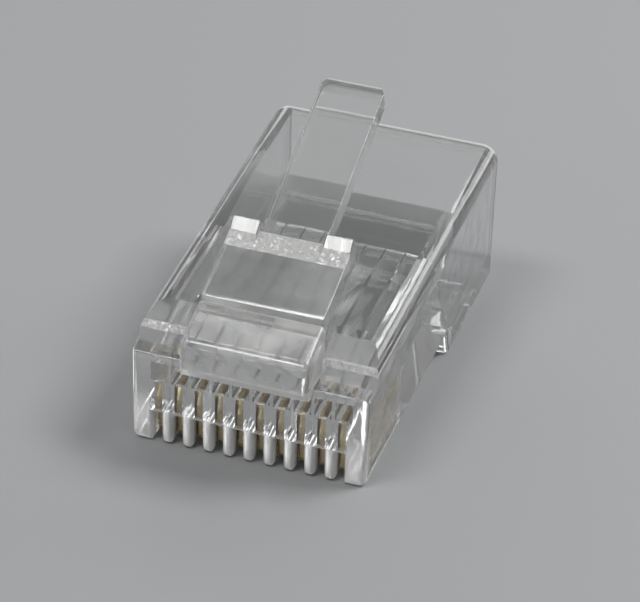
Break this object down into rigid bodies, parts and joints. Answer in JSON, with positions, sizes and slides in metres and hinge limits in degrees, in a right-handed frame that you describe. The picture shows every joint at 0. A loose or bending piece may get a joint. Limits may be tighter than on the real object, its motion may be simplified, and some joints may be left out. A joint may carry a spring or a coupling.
{
  "type": "ten position modular plug",
  "caption": "Clear moulded modular cable plug, uncrimped, with a sprung latch, a comb nose, gold-plated piercing contacts and a jacket clamp bar.",
  "frame": {"origin": "middle of the footprint, at the level of the rear hump's underside", "axes": "+Y from the nose to the cable end, +Z to the latch side, +X across the contacts, to the right as seen from in front of the nose with the latch up"},
  "size_m": [0.0122, 0.0224, 0.0138],
  "materials": {
    "clear_polycarbonate": "clear injection-moulded polycarbonate, polished, with lightly textured latch ramps",
    "gold_plated_contact": "thin bright gold plate over stamped phosphor bronze"
  },
  "bodies": {
    "housing": {"housing": "clear_polycarbonate"},
    "latch": {"latch": "clear_polycarbonate"},
    "jacket_clamp_bar": {"jacket_clamp_bar": "clear_polycarbonate"},
    "contact_01": {"contact_01": "gold_plated_contact"},
    "contact_02": {"contact_02": "gold_plated_contact"},
    "contact_03": {"contact_03": "gold_plated_contact"},
    "contact_04": {"contact_04": "gold_plated_contact"},
    "contact_05": {"contact_05": "gold_plated_contact"},
    "contact_06": {"contact_06": "gold_plated_contact"},
    "contact_07": {"contact_07": "gold_plated_contact"},
    "contact_08": {"contact_08": "gold_plated_contact"},
    "contact_09": {"contact_09": "gold_plated_contact"},
    "contact_10": {"contact_10": "gold_plated_contact"}
  },
  "joints": [
    {"name": "latch_flex", "type": "hinge", "parent": "housing", "child": "latch", "pos_m": [0, -0.00813, 0.0085], "axis": [-1, 0, 0], "range_deg": [0, 19.5], "stiffness_Nm_per_rad": 0.2},
    {"name": "clamp_bar_tip", "type": "hinge", "parent": "housing", "child": "jacket_clamp_bar", "pos_m": [0, 0.00792, 0.00065], "axis": [-1, 0, 0], "range_deg": [0, 25]},
    {"name": "contact_01_crimp", "type": "slide", "parent": "housing", "child": "contact_01", "axis": [0, 0, 1], "range_m": [0, 0.00045]},
    {"name": "contact_02_crimp", "type": "slide", "parent": "housing", "child": "contact_02", "axis": [0, 0, 1], "range_m": [0, 0.00045]},
    {"name": "contact_03_crimp", "type": "slide", "parent": "housing", "child": "contact_03", "axis": [0, 0, 1], "range_m": [0, 0.00045]},
    {"name": "contact_04_crimp", "type": "slide", "parent": "housing", "child": "contact_04", "axis": [0, 0, 1], "range_m": [0, 0.00045]},
    {"name": "contact_05_crimp", "type": "slide", "parent": "housing", "child": "contact_05", "axis": [0, 0, 1], "range_m": [0, 0.00045]},
    {"name": "contact_06_crimp", "type": "slide", "parent": "housing", "child": "contact_06", "axis": [0, 0, 1], "range_m": [0, 0.00045]},
    {"name": "contact_07_crimp", "type": "slide", "parent": "housing", "child": "contact_07", "axis": [0, 0, 1], "range_m": [0, 0.00045]},
    {"name": "contact_08_crimp", "type": "slide", "parent": "housing", "child": "contact_08", "axis": [0, 0, 1], "range_m": [0, 0.00045]},
    {"name": "contact_09_crimp", "type": "slide", "parent": "housing", "child": "contact_09", "axis": [0, 0, 1], "range_m": [0, 0.00045]},
    {"name": "contact_10_crimp", "type": "slide", "parent": "housing", "child": "contact_10", "axis": [0, 0, 1], "range_m": [0, 0.00045]}
  ]
}
